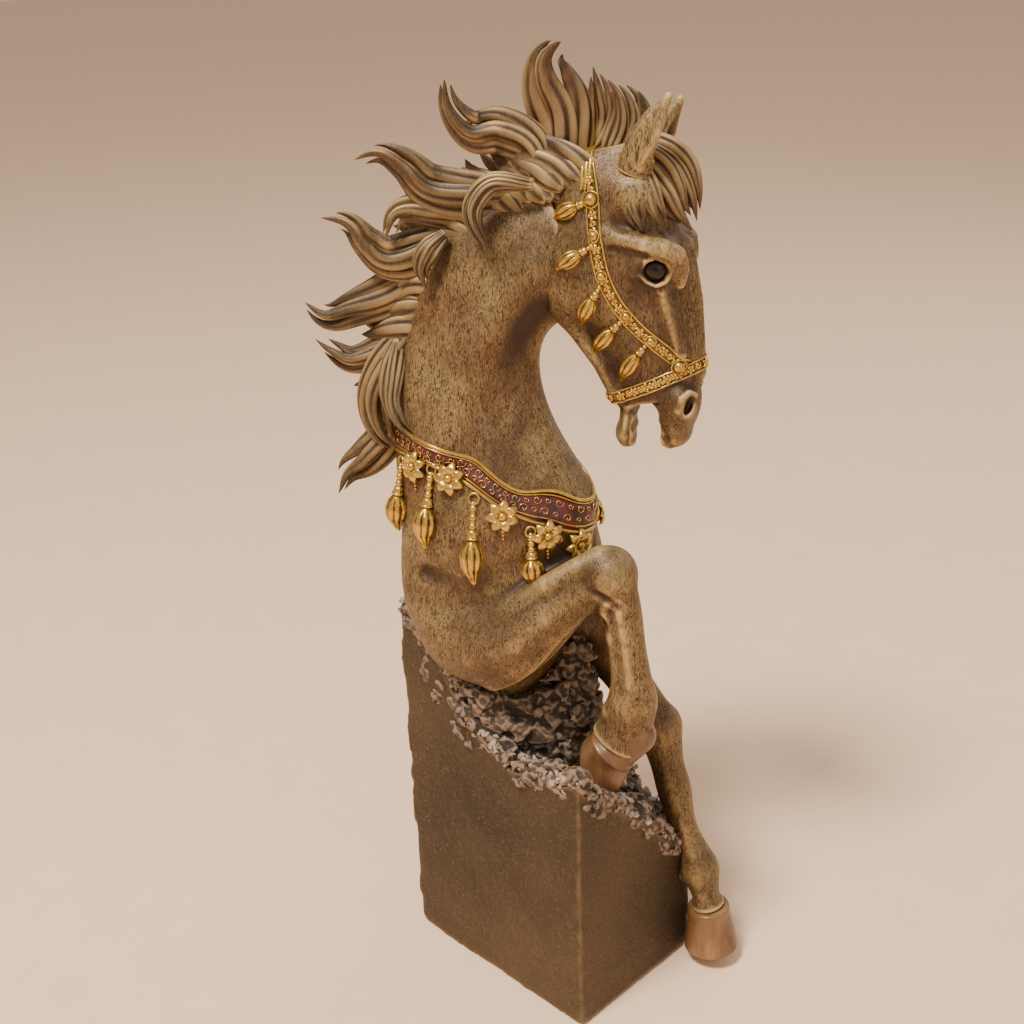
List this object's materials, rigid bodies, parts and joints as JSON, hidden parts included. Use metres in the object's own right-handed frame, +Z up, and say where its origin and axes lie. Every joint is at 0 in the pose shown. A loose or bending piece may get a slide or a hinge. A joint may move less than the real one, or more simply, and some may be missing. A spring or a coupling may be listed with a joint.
{
  "type": "rearing horse statue",
  "caption": "Table-top statue of a rearing horse's forequarters breaking out of a tall plinth, with flying mane, gilt bridle and red breast collar.",
  "frame": {"origin": "centre of the felt's underside, on the table", "axes": "+X along the plinth's long side towards the reaching foreleg, +Y along its short side, +Z up"},
  "size_m": [0.1553, 0.1049, 0.4057],
  "materials": {
    "felt": "thin glued felt, dark brown",
    "plinth_bronze": "cast polyresin, sandy dark bronze paint",
    "broken_rock": "cast polyresin, dark wash with pinkish cream dry-brushing",
    "steel": "plain steel pin",
    "horse_bronze": "cast polyresin, antique bronze paint with dark speckle",
    "mane_bronze": "cast polyresin, dark bronze with cream-gold ridges",
    "hoof_brown": "cast polyresin, satin caramel brown",
    "glass_eye": "dark brown glass eye, glossy",
    "gilt": "gold paint with dark wash in the recesses",
    "red_enamel": "dark red enamel with gilt filigree"
  },
  "bodies": {
    "root": {"felt_sheet": "felt", "plinth_base_plate": "plinth_bronze", "plinth_shell": "plinth_bronze", "rock_bed": "broken_rock", "near_rim_stones": "broken_rock", "front_rim_stones": "broken_rock", "far_rim_stones": "broken_rock", "back_rim_stones": "broken_rock", "pocket_stones": "broken_rock", "locating_dowels": "steel", "torso": "horse_bronze", "neck": "horse_bronze", "head": "horse_bronze", "lower_jaw": "horse_bronze", "left_ear": "horse_bronze", "right_ear": "horse_bronze", "left_eye": "glass_eye", "right_eye": "glass_eye", "right_foreleg": "horse_bronze", "right_hoof": "hoof_brown", "left_foreleg": "horse_bronze", "left_hoof": "hoof_brown", "mane_crest": "mane_bronze", "mane_lock_1": "mane_bronze", "mane_lock_2": "mane_bronze", "mane_lock_3": "mane_bronze", "mane_lock_4": "mane_bronze", "mane_lock_5": "mane_bronze", "mane_lock_6": "mane_bronze", "mane_lock_7": "mane_bronze", "mane_lock_8": "mane_bronze", "mane_lock_9": "mane_bronze", "mane_neck_curls": "mane_bronze", "mane_poll_locks": "mane_bronze", "mane_far_locks": "mane_bronze", "forelock": "mane_bronze", "right_cheek_strap": "gilt", "left_cheek_strap": "gilt", "crown_strap": "gilt", "noseband": "gilt", "right_bridle_studs": "gilt", "left_bridle_studs": "gilt", "right_bridle_tassels": "gilt", "left_bridle_tassels": "gilt", "collar_band": "red_enamel", "collar_upper_piping": "gilt", "collar_lower_piping": "gilt", "collar_flowers": "gilt", "right_collar_beads": "gilt", "left_collar_beads": "gilt", "right_collar_tassels": "gilt", "left_collar_tassels": "gilt"}
  },
  "joints": []
}
